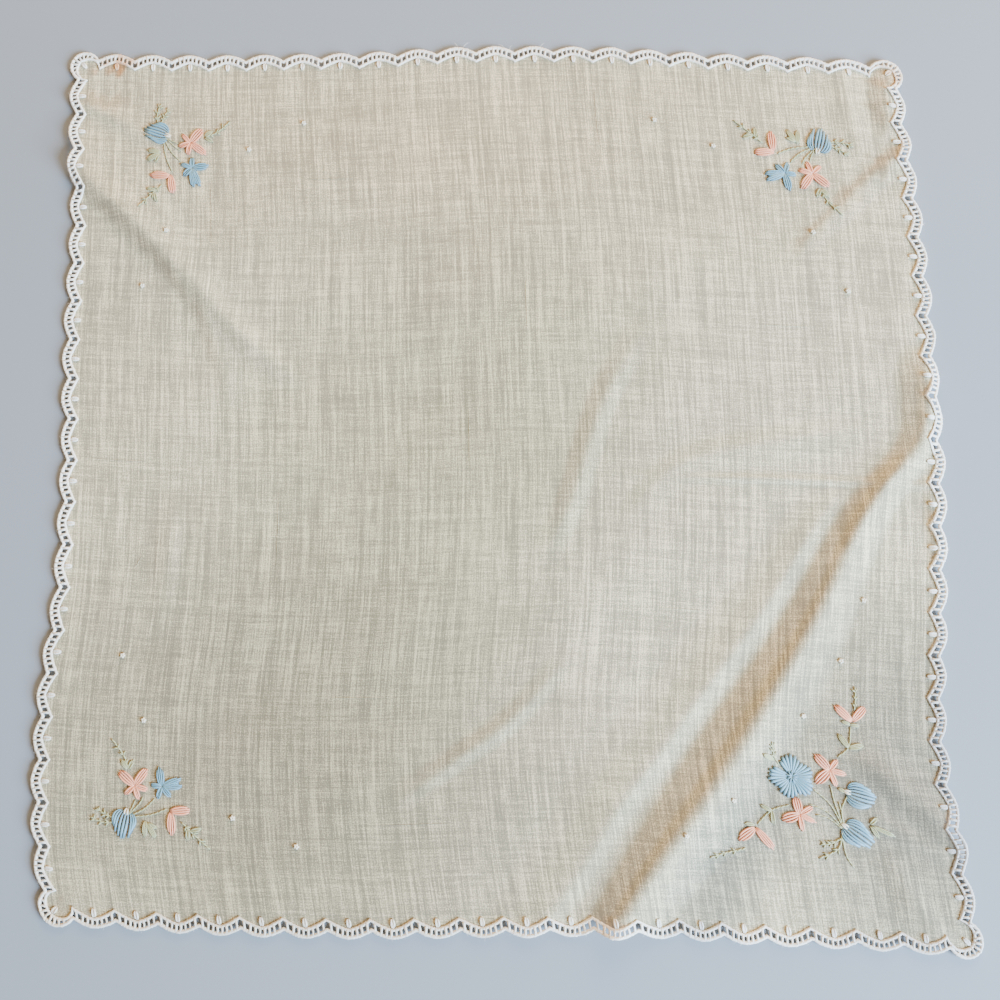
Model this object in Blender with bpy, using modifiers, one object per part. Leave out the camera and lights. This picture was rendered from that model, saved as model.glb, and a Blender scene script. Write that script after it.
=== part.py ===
"""A ladies' linen handkerchief with a scalloped ladder edging, laid on a flat surface.

Everything is drawn first on the flat, square cloth, in millimetres: u runs to the
right and v away from the viewer, both from the middle of the cloth. The laying
then gives each point its place on the surface: the cloth lies a little out of
square, its sides wander, and a few soft folds lift it. Sizes are in millimetres
and become metres only where a mesh is written.
"""

import math

import bmesh
import bpy
import numpy as np

OBJECT_NAME = "linen_handkerchief"
METRES_PER_MM = 0.001

# The scalloped edge: whole scallops between notches along each side, and a lobe
# round each corner. The notch line is the straight line through a side's notches
PITCH = 13.45  # from notch to notch
SCALLOPS = 20  # on each side
CORNER_PITCHES = 0.6  # from a side's last notch to the corner of the notch lines
NOTCH_LINE = (SCALLOPS / 2 + CORNER_PITCHES) * PITCH
SIDES = ("bottom", "right", "top", "left")
OUTER_DEPTH = 2.2  # how far a scallop stands out of the notch line
OUTER_POWER = 1.8
INNER_START = 1.0  # from the notch line in to the edging's inner edge, at mid scallop
INNER_DEPTH = 2.9  # how much farther in the inner edge's tips reach
INNER_POWER = 1.4
INNER_SQUEEZE = 0.74  # draws the inner edge's points to mid scallop, so bars stand square
SQUEEZE_POWER = 4
LOBE_SHIFT = 0.85  # from the middle of the corner's two notches out to the lobe's centre
LOBE_HOLLOW = 2.5  # inner radius of the lobe
LOBE_TIP_POWER = 3
TIP_TURN_POWER = 6
STEPS_PER_SCALLOP = 6

# The pieces
CLOTH_THICKNESS = 1.0
WELD = 0.01
EDGING_THICKNESS = 1.2
PIECE_GAP = 0.3  # between cloth and edging
LOBE_CUT_BACK = 0.012  # share of the corner lobe, 0.15 to 0.25 mm from its middle
CUTTER_MARGIN = 5.0  # how far the outline's block stands out of the cloth

# The cloth's grid of points, closer together where the main fold lies
GRID_LINES_U = ((0.00, -150.0), (0.38, -5.0), (1.00, 150.0))
GRID_LINES_V = ((0.00, -150.0), (0.68, 25.0), (1.00, 150.0))
GRID_CELLS = 42

# How far each notch lies from its place on a perfect square, along the four
# sides: station in pitches from the side's middle, then drift in x and in y
DRIFT = {
    "bottom": (
        (-10.6, 5.6, 3.2),
        (-9, 5.5, 1.9),
        (-6, 4.0, 0.1),
        (-3, 3.9, -0.6),
        (0, 4.5, 0.2),
        (3, 4.4, 0.3),
        (6, 3.0, -1.9),
        (9, 3.4, -3.6),
        (10.6, 3.4, -5.2),
    ),
    "right": (
        (-10.6, 3.4, -5.2),
        (-9, 0.9, -4.6),
        (-6, -3.4, -5.6),
        (-3, -1.0, -6.4),
        (0, 1.2, -5.4),
        (3, 0.9, -3.9),
        (6, -0.6, -3.3),
        (9, -3.9, -3.6),
        (10.6, -5.4, -5.0),
    ),
    "top": (
        (-10.6, -1.2, 4.0),
        (-9, -2.6, 3.0),
        (-6, -4.0, 2.1),
        (-3, -5.0, 2.3),
        (0, -5.0, 3.7),
        (3, -5.4, 2.9),
        (6, -6.4, -0.2),
        (9, -6.2, -2.9),
        (10.6, -5.4, -5.0),
    ),
    "left": (
        (-10.6, 5.6, 3.2),
        (-9, 1.4, 3.1),
        (-6, -0.2, 2.5),
        (-3, 3.0, 3.1),
        (0, 3.0, 4.6),
        (3, 1.5, 5.3),
        (6, 1.5, 4.9),
        (9, -0.7, 5.0),
        (10.6, -1.2, 4.0),
    ),
}

# Each fold is a crest drawn on the flat cloth. A row gives the crest's place, its
# height there, and how far its slopes reach to the left and right of its run
FOLDS = {
    "main fold": (
        (27.0, -150.0, 3.1, 8.0, 13.0),
        (39.0, -134.5, 3.4, 8.5, 14.0),
        (53.0, -118.5, 3.9, 10.0, 15.0),
        (70.0, -99.0, 4.3, 12.0, 16.0),
        (83.5, -80.0, 4.3, 11.5, 16.0),
        (94.5, -61.0, 3.9, 10.0, 15.0),
        (104.0, -42.0, 3.5, 9.0, 13.0),
        (112.5, -23.0, 2.9, 7.5, 11.0),
        (121.0, -7.5, 2.4, 6.0, 8.5),
        (130.0, 4.0, 2.2, 5.5, 7.0),
        (136.5, 13.0, 2.4, 6.5, 6.0),
        (139.5, 23.0, 2.6, 8.5, 5.5),
        (139.8, 34.0, 2.2, 8.5, 5.5),
        (140.0, 43.0, 0.0, 7.0, 5.0),
    ),
    "slack beside the main fold": (
        (3.0, -150.0, 0.6, 15.0, 6.0),
        (27.0, -124.0, 0.9, 17.0, 6.0),
        (40.0, -107.0, 1.1, 18.0, 6.0),
        (56.5, -88.0, 1.2, 18.0, 6.0),
        (69.0, -71.0, 1.2, 17.0, 6.0),
        (81.0, -53.5, 1.1, 15.0, 6.0),
        (92.0, -36.0, 0.9, 12.0, 5.5),
        (102.5, -18.0, 0.7, 10.0, 5.0),
        (113.5, -2.0, 0.0, 8.0, 4.0),
    ),
    "corner ridge": (
        (-150.0, 108.0, 1.8, 17.0, 8.0),
        (-137.0, 97.5, 2.1, 18.0, 8.0),
        (-120.5, 82.5, 2.3, 16.0, 8.0),
        (-104.0, 66.0, 2.0, 11.0, 7.5),
        (-93.0, 53.0, 1.4, 8.5, 7.0),
        (-82.0, 42.5, 0.9, 7.0, 7.0),
        (-66.0, 28.0, 0.0, 7.0, 7.0),
    ),
    "crease at the right edge": (
        (112.0, -83.5, 0.0, 10.0, 6.0),
        (122.0, -91.5, 1.0, 11.0, 6.5),
        (130.0, -98.5, 1.5, 12.0, 6.5),
        (138.0, -105.5, 1.7, 12.0, 7.0),
        (152.0, -117.0, 1.8, 12.0, 7.0),
    ),
}
SLOPE_ROUNDING = 0.3  # share of a slope that is rounded at its foot, and at its crest
SPINE_STEPS = 6  # points of the smooth crest for each row

LINEN_COLOUR = (0.61, 0.58, 0.51, 1.0)
EDGING_COLOUR = (0.80, 0.76, 0.66, 1.0)
THREAD_ROUGHNESS = 0.85
SHARP_ANGLE = math.radians(50)


def side_scallop(scallop, t):
    """Outer and inner edge of a scallop, as distance along the side and outwards."""
    off_middle = np.abs(2 * t - 1)
    start = (scallop - SCALLOPS / 2) * PITCH
    outer = (start + t * PITCH, NOTCH_LINE + OUTER_DEPTH * (1 - off_middle**OUTER_POWER))
    squeeze = INNER_SQUEEZE + (1 - INNER_SQUEEZE) * off_middle**SQUEEZE_POWER
    squeezed = 0.5 + (t - 0.5) * squeeze
    inner_off = np.abs(2 * squeezed - 1)
    depth = INNER_START + INNER_DEPTH * inner_off**INNER_POWER
    return outer, (start + squeezed * PITCH, NOTCH_LINE - depth)


def corner_lobe(t):
    """Outer and inner edge of the lobe that turns the corner after a side."""
    centre = (SCALLOPS / 2 + CORNER_PITCHES / 2) * PITCH + LOBE_SHIFT
    notch = SCALLOPS / 2 * PITCH - centre
    outwards = NOTCH_LINE - centre
    tip_outwards = outwards - INNER_START - INNER_DEPTH
    diagonal = math.pi / 4
    swing = math.atan2(outwards, notch) - diagonal
    tip_swing = math.atan2(tip_outwards, notch) % math.tau - diagonal
    radius = math.hypot(notch, outwards)
    tip_radius = math.hypot(notch, tip_outwards)
    turn = 1 - 2 * t
    end = np.abs(turn)
    angle = diagonal + swing * turn
    outer = (centre + radius * np.cos(angle), centre + radius * np.sin(angle))
    angle = diagonal + (swing + (tip_swing - swing) * end**TIP_TURN_POWER) * turn
    reach = LOBE_HOLLOW + (tip_radius - LOBE_HOLLOW) * end**LOBE_TIP_POWER
    return outer, (centre + reach * np.cos(angle), centre + reach * np.sin(angle))


def turned(along, outwards, side):
    """A place beside the bottom side, carried round to one of the four sides."""
    places = {
        "bottom": (along, -outwards),
        "right": (outwards, along),
        "top": (-along, outwards),
        "left": (-outwards, -along),
    }
    return np.stack(places[side], axis=-1)


def length_of_edging(side):
    """The outer and inner edge of one side's edging, from corner to corner."""
    half = np.linspace(0, 0.5 - LOBE_CUT_BACK, STEPS_PER_SCALLOP // 2 + 1)
    outer_end, inner_end = corner_lobe(half)
    outer = [np.stack((-outer_end[0], outer_end[1]), axis=-1)[::-1]]
    inner = [np.stack((-inner_end[0], inner_end[1]), axis=-1)[::-1]]
    t = np.arange(1, STEPS_PER_SCALLOP + 1) / STEPS_PER_SCALLOP
    for scallop in range(SCALLOPS):
        out, inn = side_scallop(scallop, t)
        outer.append(np.stack(out, axis=-1))
        inner.append(np.stack(inn, axis=-1))
    outer.append(np.stack(outer_end, axis=-1)[1:])
    inner.append(np.stack(inner_end, axis=-1)[1:])
    outer = np.concatenate(outer)
    inner = np.concatenate(inner)
    return turned(*outer.T, side), turned(*inner.T, side)


def cloth_outline():
    """The cloth's edge: the edging's inner edge all round, drawn in by the gap."""
    t = np.arange(STEPS_PER_SCALLOP) / STEPS_PER_SCALLOP
    loop = []
    for side in SIDES:
        for scallop in range(SCALLOPS):
            loop.append(turned(*side_scallop(scallop, t)[1], side))
        loop.append(turned(*corner_lobe(t)[1], side))
    loop = np.concatenate(loop)
    run = np.roll(loop, -1, axis=0) - loop
    run /= np.linalg.norm(run, axis=1)[:, None]
    left = np.stack((-run[:, 1], run[:, 0]), axis=-1)
    before = np.roll(left, 1, axis=0)
    mitre = (left + before) / (1 + (left * before).sum(axis=1))[:, None]
    return loop + PIECE_GAP * mitre


def smooth_through(rows, station):
    """A smooth curve through a table's rows, whose first column is the station."""
    rows = np.array(rows, float)
    at, values = rows[:, 0], rows[:, 1:]
    slope = np.gradient(values, at, axis=0)
    station = np.clip(station, at[0], at[-1])
    i = np.clip(np.searchsorted(at, station) - 1, 0, len(at) - 2)
    width = at[i + 1] - at[i]
    t = (station - at[i]) / width
    from_start = (2 * t**3 - 3 * t**2 + 1)[:, None] * values[i]
    from_end = (3 * t**2 - 2 * t**3)[:, None] * values[i + 1]
    from_start += ((t**3 - 2 * t**2 + t) * width)[:, None] * slope[i]
    from_end += ((t**3 - t**2) * width)[:, None] * slope[i + 1]
    return from_start + from_end


def drift_at(flat):
    """How far the laid cloth has moved, blended inwards from its four sides."""
    u_station, v_station = flat.T / PITCH
    a = np.clip((flat[:, :1] / NOTCH_LINE + 1) / 2, 0, 1)
    b = np.clip((flat[:, 1:] / NOTCH_LINE + 1) / 2, 0, 1)
    bottom = smooth_through(DRIFT["bottom"], u_station)
    top = smooth_through(DRIFT["top"], u_station)
    left = smooth_through(DRIFT["left"], v_station)
    right = smooth_through(DRIFT["right"], v_station)
    corners = [np.array(DRIFT[side][end][1:]) for side in ("bottom", "top") for end in (0, -1)]
    flat_part = (1 - a) * (1 - b) * corners[0] + a * (1 - b) * corners[1]
    flat_part += (1 - a) * b * corners[2] + a * b * corners[3]
    return (1 - b) * bottom + b * top + (1 - a) * left + a * right - flat_part


def slope(share):
    """Height share along a slope, from 0 at its foot to 1 at its crest, rounded at both."""
    share = np.clip(share, 0, 1)
    soft = SLOPE_ROUNDING
    steep = 1 / (1 - soft)
    foot = steep * share**2 / (2 * soft)
    crest = 1 - steep * (1 - share) ** 2 / (2 * soft)
    straight = steep * (share - soft / 2)
    return np.where(share < soft, foot, np.where(share > 1 - soft, crest, straight))


def fold_height(flat, rows):
    """How high one fold lifts each point of the flat cloth."""
    stations = np.arange(len(rows), dtype=float)
    table = np.column_stack((stations, np.array(rows, float)))
    spine = smooth_through(table, np.linspace(0, stations[-1], (len(rows) - 1) * SPINE_STEPS + 1))
    nearest = np.full(len(flat), np.inf)
    height = np.zeros(len(flat))
    for start, end in zip(spine[:-1], spine[1:]):
        run = end[:2] - start[:2]
        away = flat - start[:2]
        t = np.clip(away @ run / (run @ run), 0, 1)
        away = away - t[:, None] * run
        distance = np.linalg.norm(away, axis=1)
        row = start + t[:, None] * (end - start)
        to_left = run[0] * away[:, 1] - run[1] * away[:, 0] > 0
        reach = np.where(to_left, row[:, 3], row[:, 4])
        closer = distance < nearest
        height = np.where(closer, row[:, 2] * slope(1 - distance / reach), height)
        nearest = np.minimum(nearest, distance)
    return np.maximum(height, 0)


def laid(points):
    """Each point of the flat pieces, u, v and height above the underside, in its place."""
    flat = points[:, :2]
    lift = np.max([fold_height(flat, rows) for rows in FOLDS.values()], axis=0)
    return np.column_stack((flat + drift_at(flat), points[:, 2] + lift)) * METRES_PER_MM


def material(name, colour):
    """A matt thread material."""
    made = bpy.data.materials.new(name)
    made.use_nodes = True
    shader = made.node_tree.nodes["Principled BSDF"]
    shader.inputs["Base Color"].default_value = colour
    shader.inputs["Roughness"].default_value = THREAD_ROUGHNESS
    shader.inputs["Metallic"].default_value = 0.0
    made.diffuse_color = colour
    return made


def collection(name, hidden=False):
    """A collection of the scene, hidden where it holds cutters."""
    made = bpy.data.collections.new(name)
    bpy.context.scene.collection.children.link(made)
    made.hide_render = hidden
    return made


def object_from(name, work, into):
    """A new object from a bmesh, which this frees."""
    mesh = bpy.data.meshes.new(name)
    work.to_mesh(mesh)
    work.free()
    made = bpy.data.objects.new(name, mesh)
    into.objects.link(made)
    return made


def lay_down(obj):
    """Fixes the object's modifiers and moves each of its points from the flat to its place."""
    bpy.context.view_layer.update()
    graph = bpy.context.evaluated_depsgraph_get()
    mesh = bpy.data.meshes.new_from_object(obj.evaluated_get(graph))
    obj.modifiers.clear()
    obj.data = mesh
    places = np.empty(len(mesh.vertices) * 3, np.float32)
    mesh.vertices.foreach_get("co", places)
    places = laid(places.reshape(-1, 3).astype(float))
    mesh.vertices.foreach_set("co", places.ravel().astype(np.float32))
    mesh.update()


def shade(obj, coat):
    """Gives the piece its material and smooth shading with sharp edges kept."""
    obj.data.materials.clear()
    obj.data.materials.append(coat)
    obj.data.shade_smooth()
    obj.data.set_sharp_from_angle(angle=SHARP_ANGLE)


def make_cloth(parts, cutters, coat):
    """The linen: a grid of cells, as thick as the cloth, cut to the scalloped outline."""
    work = bmesh.new()
    bmesh.ops.create_grid(work, x_segments=GRID_CELLS, y_segments=GRID_CELLS, size=0.5)
    lines_u = np.array(GRID_LINES_U)
    lines_v = np.array(GRID_LINES_V)
    for corner in work.verts:
        corner.co.x = np.interp(corner.co.x + 0.5, *lines_u.T)
        corner.co.y = np.interp(corner.co.y + 0.5, *lines_v.T)
    cloth = object_from("cloth", work, parts)
    thicken = cloth.modifiers.new("Thickness", "SOLIDIFY")
    thicken.thickness = CLOTH_THICKNESS
    thicken.offset = 1

    outline = bpy.data.curves.new("cloth_outline", "CURVE")
    outline.dimensions = "2D"
    outline.fill_mode = "BOTH"
    outline.extrude = CUTTER_MARGIN
    line = outline.splines.new("POLY")
    edge = cloth_outline()
    line.points.add(len(edge) - 1)
    height_and_weight = np.tile((0.0, 1.0), (len(edge), 1))
    line.points.foreach_set("co", np.column_stack((edge, height_and_weight)).ravel())
    line.use_cyclic_u = True
    drawn = bpy.data.objects.new("cloth_outline_curve", outline)
    cutters.objects.link(drawn)
    bpy.context.view_layer.update()
    graph = bpy.context.evaluated_depsgraph_get()
    block = bpy.data.meshes.new_from_object(drawn.evaluated_get(graph))
    work = bmesh.new()
    work.from_mesh(block)
    bmesh.ops.remove_doubles(work, verts=work.verts, dist=WELD)
    bmesh.ops.recalc_face_normals(work, faces=work.faces)
    bpy.data.objects.remove(drawn)
    bpy.data.meshes.remove(block)
    cutter = object_from("cloth_outline", work, cutters)
    cutter.hide_render = True
    cutter.display_type = "WIRE"

    trim = cloth.modifiers.new("Scalloped outline", "BOOLEAN")
    trim.operation = "INTERSECT"
    trim.object = cutter
    trim.solver = "EXACT"
    lay_down(cloth)
    shade(cloth, coat)


def make_edging(side, parts, coat):
    """One side's length of ladder edging, its small holes left uncut."""
    outer, inner = length_of_edging(side)
    work = bmesh.new()
    rails = [[work.verts.new((*place, 0)) for place in rail] for rail in (outer, inner)]
    for i in range(len(outer) - 1):
        work.faces.new((rails[0][i], rails[0][i + 1], rails[1][i + 1], rails[1][i]))
    bmesh.ops.recalc_face_normals(work, faces=work.faces)
    if next(iter(work.faces)).normal.z < 0:
        bmesh.ops.reverse_faces(work, faces=work.faces)
    edging = object_from("edging_" + side, work, parts)
    thicken = edging.modifiers.new("Thickness", "SOLIDIFY")
    thicken.thickness = EDGING_THICKNESS
    thicken.offset = 1
    lay_down(edging)
    shade(edging, coat)


def main():
    for old in list(bpy.data.objects):
        bpy.data.objects.remove(old)
    parts = collection(OBJECT_NAME)
    cutters = collection("cutters", hidden=True)
    make_cloth(parts, cutters, material("fine linen lawn", LINEN_COLOUR))
    lace = material("white cotton edging", EDGING_COLOUR)
    for side in SIDES:
        make_edging(side, parts, lace)
    # The cut is made by now, and the cutter is drawn in millimetres.
    bpy.data.objects.remove(bpy.data.objects["cloth_outline"])


main()
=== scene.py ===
"""Dresses a ladies' linen handkerchief: its lawn, ladder edging and embroidered corners.

The design is drawn on the flat, square cloth, in millimetres: u runs to the right
and v away from the viewer, both from the middle. The laying then gives each point
its place: the cloth lies a little out of square and a few soft folds lift it.
"""

import math

import bmesh
import bpy
import numpy as np
from bpy.props import FloatProperty, FloatVectorProperty, IntProperty, PointerProperty
from mathutils import Matrix, Vector


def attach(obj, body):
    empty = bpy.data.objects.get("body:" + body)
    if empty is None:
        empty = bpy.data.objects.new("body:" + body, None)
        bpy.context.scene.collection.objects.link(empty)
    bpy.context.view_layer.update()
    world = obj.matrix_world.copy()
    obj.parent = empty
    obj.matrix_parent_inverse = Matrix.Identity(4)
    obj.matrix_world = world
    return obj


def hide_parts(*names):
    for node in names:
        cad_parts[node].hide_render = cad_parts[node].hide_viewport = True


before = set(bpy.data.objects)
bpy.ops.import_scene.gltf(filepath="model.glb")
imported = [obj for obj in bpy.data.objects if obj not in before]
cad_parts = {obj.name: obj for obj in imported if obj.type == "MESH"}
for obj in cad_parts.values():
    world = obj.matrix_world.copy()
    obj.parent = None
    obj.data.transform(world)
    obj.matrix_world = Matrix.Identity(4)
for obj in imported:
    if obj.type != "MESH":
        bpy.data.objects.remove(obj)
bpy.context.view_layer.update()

bl_info = {
    "name": "Linen handkerchief",
    "version": (1, 0, 0),
    "blender": (4, 5, 0),
    "location": "View3D > Sidebar > Handkerchief",
    "description": "Lays and dresses a linen handkerchief with a ladder edging and embroidery",
    "category": "Object",
}

METRES_PER_MM = 0.001

# The scalloped edge, as the solids have it: whole scallops between notches along
# each side, and a lobe round each corner. The notch line runs through the notches
PITCH = 13.45
SCALLOPS = 20
CORNER_PITCHES = 0.6
NOTCH_LINE = (SCALLOPS / 2 + CORNER_PITCHES) * PITCH
SIDES = ("bottom", "right", "top", "left")
OUTER_DEPTH = 2.2
OUTER_POWER = 1.8
INNER_START = 1.0
INNER_DEPTH = 2.9
INNER_POWER = 1.4
INNER_SQUEEZE = 0.74
SQUEEZE_POWER = 4
LOBE_SHIFT = 0.85
LOBE_HOLLOW = 2.5
LOBE_TIP_POWER = 3
TIP_TURN_POWER = 6
# Millimetres of flat cloth that a piece's UV map covers from side to side
FLAT_SPAN = 300.0

# How far each notch lies from its place on a perfect square, along the four
# sides: station in pitches from the side's middle, then drift in x and in y
DRIFT = {
    "bottom": (
        (-10.6, 5.6, 3.2), (-9, 5.5, 1.9), (-6, 4, 0.1), (-3, 3.9, -0.6), (0, 4.5, 0.2),
        (3, 4.4, 0.3), (6, 3, -1.9), (9, 3.4, -3.6), (10.6, 3.4, -5.2),
    ),
    "right": (
        (-10.6, 3.4, -5.2), (-9, 0.9, -4.6), (-6, -3.4, -5.6), (-3, -1, -6.4), (0, 1.2, -5.4),
        (3, 0.9, -3.9), (6, -0.6, -3.3), (9, -3.9, -3.6), (10.6, -5.4, -5),
    ),
    "top": (
        (-10.6, -1.2, 4), (-9, -2.6, 3), (-6, -4, 2.1), (-3, -5, 2.3), (0, -5, 3.7),
        (3, -5.4, 2.9), (6, -6.4, -0.2), (9, -6.2, -2.9), (10.6, -5.4, -5),
    ),
    "left": (
        (-10.6, 5.6, 3.2), (-9, 1.4, 3.1), (-6, -0.2, 2.5), (-3, 3, 3.1), (0, 3, 4.6),
        (3, 1.5, 5.3), (6, 1.5, 4.9), (9, -0.7, 5), (10.6, -1.2, 4),
    ),
}

# Each fold is a crest drawn on the flat cloth. A row gives the crest's place, its
# height there, and how far its slopes reach to the left and right of its run
FOLDS = {
    "main fold": (
        (27, -150, 3.1, 8, 13), (39, -134.5, 3.4, 8.5, 14), (53, -118.5, 3.9, 10, 15),
        (70, -99, 4.3, 12, 16), (83.5, -80, 4.3, 11.5, 16), (94.5, -61, 3.9, 10, 15),
        (104, -42, 3.5, 9, 13), (112.5, -23, 2.9, 7.5, 11), (121, -7.5, 2.4, 6, 8.5),
        (130, 4, 2.2, 5.5, 7), (136.5, 13, 2.4, 6.5, 6), (139.5, 23, 2.6, 8.5, 5.5),
        (139.8, 34, 2.2, 8.5, 5.5), (140, 43, 0, 7, 5),
    ),
    "slack beside the main fold": (
        (3, -150, 0.6, 15, 6), (27, -124, 0.9, 17, 6), (40, -107, 1.1, 18, 6),
        (56.5, -88, 1.2, 18, 6), (69, -71, 1.2, 17, 6), (81, -53.5, 1.1, 15, 6),
        (92, -36, 0.9, 12, 5.5), (102.5, -18, 0.7, 10, 5), (113.5, -2, 0, 8, 4),
    ),
    "corner ridge": (
        (-150, 108, 1.8, 17, 8), (-137, 97.5, 2.1, 18, 8), (-120.5, 82.5, 2.3, 16, 8),
        (-104, 66, 2, 11, 7.5), (-93, 53, 1.4, 8.5, 7), (-82, 42.5, 0.9, 7, 7),
        (-66, 28, 0, 7, 7),
    ),
    "crease at the right edge": (
        (112, -83.5, 0, 10, 6), (122, -91.5, 1, 11, 6.5), (130, -98.5, 1.5, 12, 6.5),
        (138, -105.5, 1.7, 12, 7), (152, -117, 1.8, 12, 7),
    ),
}
SLOPE_ROUNDING = 0.16
SPINE_STEPS = 6

# The long folds are steepest beside their crests. A lip lies along each: how far it
# lies from the crest in u and v, then shares of the fold's height, left and right reach
LIPS = {
    "main fold": (1.8, -1.2, 0.38, 0.56, 0.6),
    "slack beside the main fold": (0, 0, 0.5, 0.6, 0.8),
    "crease at the right edge": (0, 0, 0.5, 0.6, 0.8),
}


def lip(name, aside, along, *scales):
    """The rows of a fold of the solids, moved and scaled."""
    return np.array(FOLDS[name]) * (1, 1, *scales) + (aside, along, 0, 0, 0)


def crease(reaches, *rows):
    """The rows of a fold whose slopes reach equally far all along."""
    return [(*row, *reaches) for row in rows]


# Low creases too fine for the solids, drawn the same way
FINE_FOLDS = {
    **{"lip of the " + name: lip(name, *row) for name, row in LIPS.items()},
    "upper end of the main fold": crease(
        (4.5, 4.5), (109, -33.2, 0), (113.9, -23.8, 1.2), (118.2, -14.4, 1.3), (122.5, -8, 1.3),
        (126.2, -1.6, 1.3), (131.2, 3.4, 1.2), (135.5, 8.5, 0),
    ),
    "lifted right edge": crease(
        (4, 2.5), (138.5, 2, 0), (140, -6, 0.8), (141, -18, 0.8), (142, -30, 0)
    ),
    "ironed middle crease": (
        (38, -3.6, 0, 1.6, 1.5), (62, -2.9, 0.4, 1.6, 1.5), (86, -1.9, 0.6, 1.6, 1.6),
        (114, -1.5, 0.6, 1.6, 1.6), (141, -1, 0.6, 1.6, 1.6),
    ),
    "wisp in the middle": crease(
        (5, 6), (52, 47, 0), (38, 24, 0.9), (31, 7, 1), (25, -12, 0.8), (16, -31, 0)
    ),
    "wisp below the middle": crease(
        (3.5, 5), (27, -59, 0), (10, -79, 0.8), (-10, -93, 0.8), (-30, -106, 0)
    ),
    "wisp right of the middle": crease(
        (5, 8), (40, -20, 0), (62, 2, 0.5), (100, 12, 0.4), (124, 16, 0)
    ),
    "small ridge at the top left": crease(
        (7, 3.5), (-150, 129, 0.8), (-137.5, 124, 0.9), (-125.5, 118, 0.8), (-114, 110, 0)
    ),
    "tail of the corner ridge": crease(
        (7, 5), (-101, 61, 0), (-95, 50, 0.7), (-89, 32, 0.6), (-85, 20, 0)
    ),
    "light edge of the corner ridge": (
        (-118, 80, 0, 5, 8), (-105, 68.5, 0.8, 4.5, 8), (-88, 50, 1, 4.5, 8),
        (-75, 37.5, 0.8, 4.5, 7), (-62, 26, 0, 4.5, 6),
    ),
    "dark edge of the corner ridge": crease(
        (9, 4.5), (-146, 103, 0.8), (-136, 94, 1.2), (-119, 79.5, 1.2), (-104, 63, 0.9),
        (-97, 52, 0),
    ),
    "soft trough at the left": (
        (-106, -8, 0, 5, 6), (-106, -26, 0.5, 5, 7), (-108, -52, 0, 5, 6)
    ),
    "second crease at the right edge": crease(
        (3.5, 6), (110, -99.5, 0), (118, -104.5, 0.6), (126, -109.5, 0.8), (134, -114, 0.6),
        (141, -118, 0),
    ),
    "ridge at the bottom right": crease(
        (6, 8), (120, -116, 0), (123.5, -123, 0.7), (126.5, -130, 1), (130, -137, 0.9),
        (134, -146, 0.7),
    ),
    "ridge at the top right": (
        (140.5, 142, 1.2, 5, 6.5), (139, 131, 1.2, 5, 6.5), (138.5, 122, 0.9, 5, 6),
        (137, 113, 0, 5, 5),
    ),
    "second ridge at the top right": (
        (124, 142, 0.4, 5.5, 8), (125.5, 131, 0.9, 5.5, 8), (127, 121, 0.9, 5.5, 8),
        (128, 111, 0.6, 5, 7), (129, 102, 0, 4, 6),
    ),
    "streak at the top right": (
        (104, 74.5, 0.2, 2.6, 5), (112.5, 83, 0.5, 2.8, 5), (122.5, 93, 0.6, 3.2, 6),
        (130.5, 101, 0.8, 3.8, 6), (136, 105.5, 0.9, 4, 6), (143, 112, 0.9, 4, 6),
    ),
}


def side_scallop(scallop, t):
    """Outer and inner edge of a scallop, as distance along the side and outwards."""
    off_middle = np.abs(2 * t - 1)
    start = (scallop - SCALLOPS / 2) * PITCH
    outer = (start + t * PITCH, NOTCH_LINE + OUTER_DEPTH * (1 - off_middle**OUTER_POWER))
    squeeze = INNER_SQUEEZE + (1 - INNER_SQUEEZE) * off_middle**SQUEEZE_POWER
    squeezed = 0.5 + (t - 0.5) * squeeze
    inner_off = np.abs(2 * squeezed - 1)
    depth = INNER_START + INNER_DEPTH * inner_off**INNER_POWER
    return outer, (start + squeezed * PITCH, NOTCH_LINE - depth)


def corner_lobe(t):
    """Outer and inner edge of the lobe that turns the corner after a side."""
    centre = (SCALLOPS / 2 + CORNER_PITCHES / 2) * PITCH + LOBE_SHIFT
    notch = SCALLOPS / 2 * PITCH - centre
    outwards = NOTCH_LINE - centre
    tip_outwards = outwards - INNER_START - INNER_DEPTH
    diagonal = math.pi / 4
    swing = math.atan2(outwards, notch) - diagonal
    tip_swing = math.atan2(tip_outwards, notch) % math.tau - diagonal
    radius = math.hypot(notch, outwards)
    tip_radius = math.hypot(notch, tip_outwards)
    turn = 1 - 2 * t
    end = np.abs(turn)
    angle = diagonal + swing * turn
    outer = (centre + radius * np.cos(angle), centre + radius * np.sin(angle))
    angle = diagonal + (swing + (tip_swing - swing) * end**TIP_TURN_POWER) * turn
    reach = LOBE_HOLLOW + (tip_radius - LOBE_HOLLOW) * end**LOBE_TIP_POWER
    return outer, (centre + reach * np.cos(angle), centre + reach * np.sin(angle))


def turned(along, outwards, side):
    """A place beside the bottom side, carried round to one of the four sides."""
    places = {
        "bottom": (along, -outwards),
        "right": (outwards, along),
        "top": (-along, outwards),
        "left": (-outwards, -along),
    }
    return np.stack(places[side], axis=-1)


def smooth_through(rows, station):
    """A smooth curve through a table's rows, whose first column is the station."""
    rows = np.array(rows, float)
    at, values = rows[:, 0], rows[:, 1:]
    slope = np.gradient(values, at, axis=0)
    station = np.clip(station, at[0], at[-1])
    i = np.clip(np.searchsorted(at, station) - 1, 0, len(at) - 2)
    width = at[i + 1] - at[i]
    t = (station - at[i]) / width
    from_start = (2 * t**3 - 3 * t**2 + 1)[:, None] * values[i]
    from_end = (3 * t**2 - 2 * t**3)[:, None] * values[i + 1]
    from_start += ((t**3 - 2 * t**2 + t) * width)[:, None] * slope[i]
    from_end += ((t**3 - t**2) * width)[:, None] * slope[i + 1]
    return from_start + from_end


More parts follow.
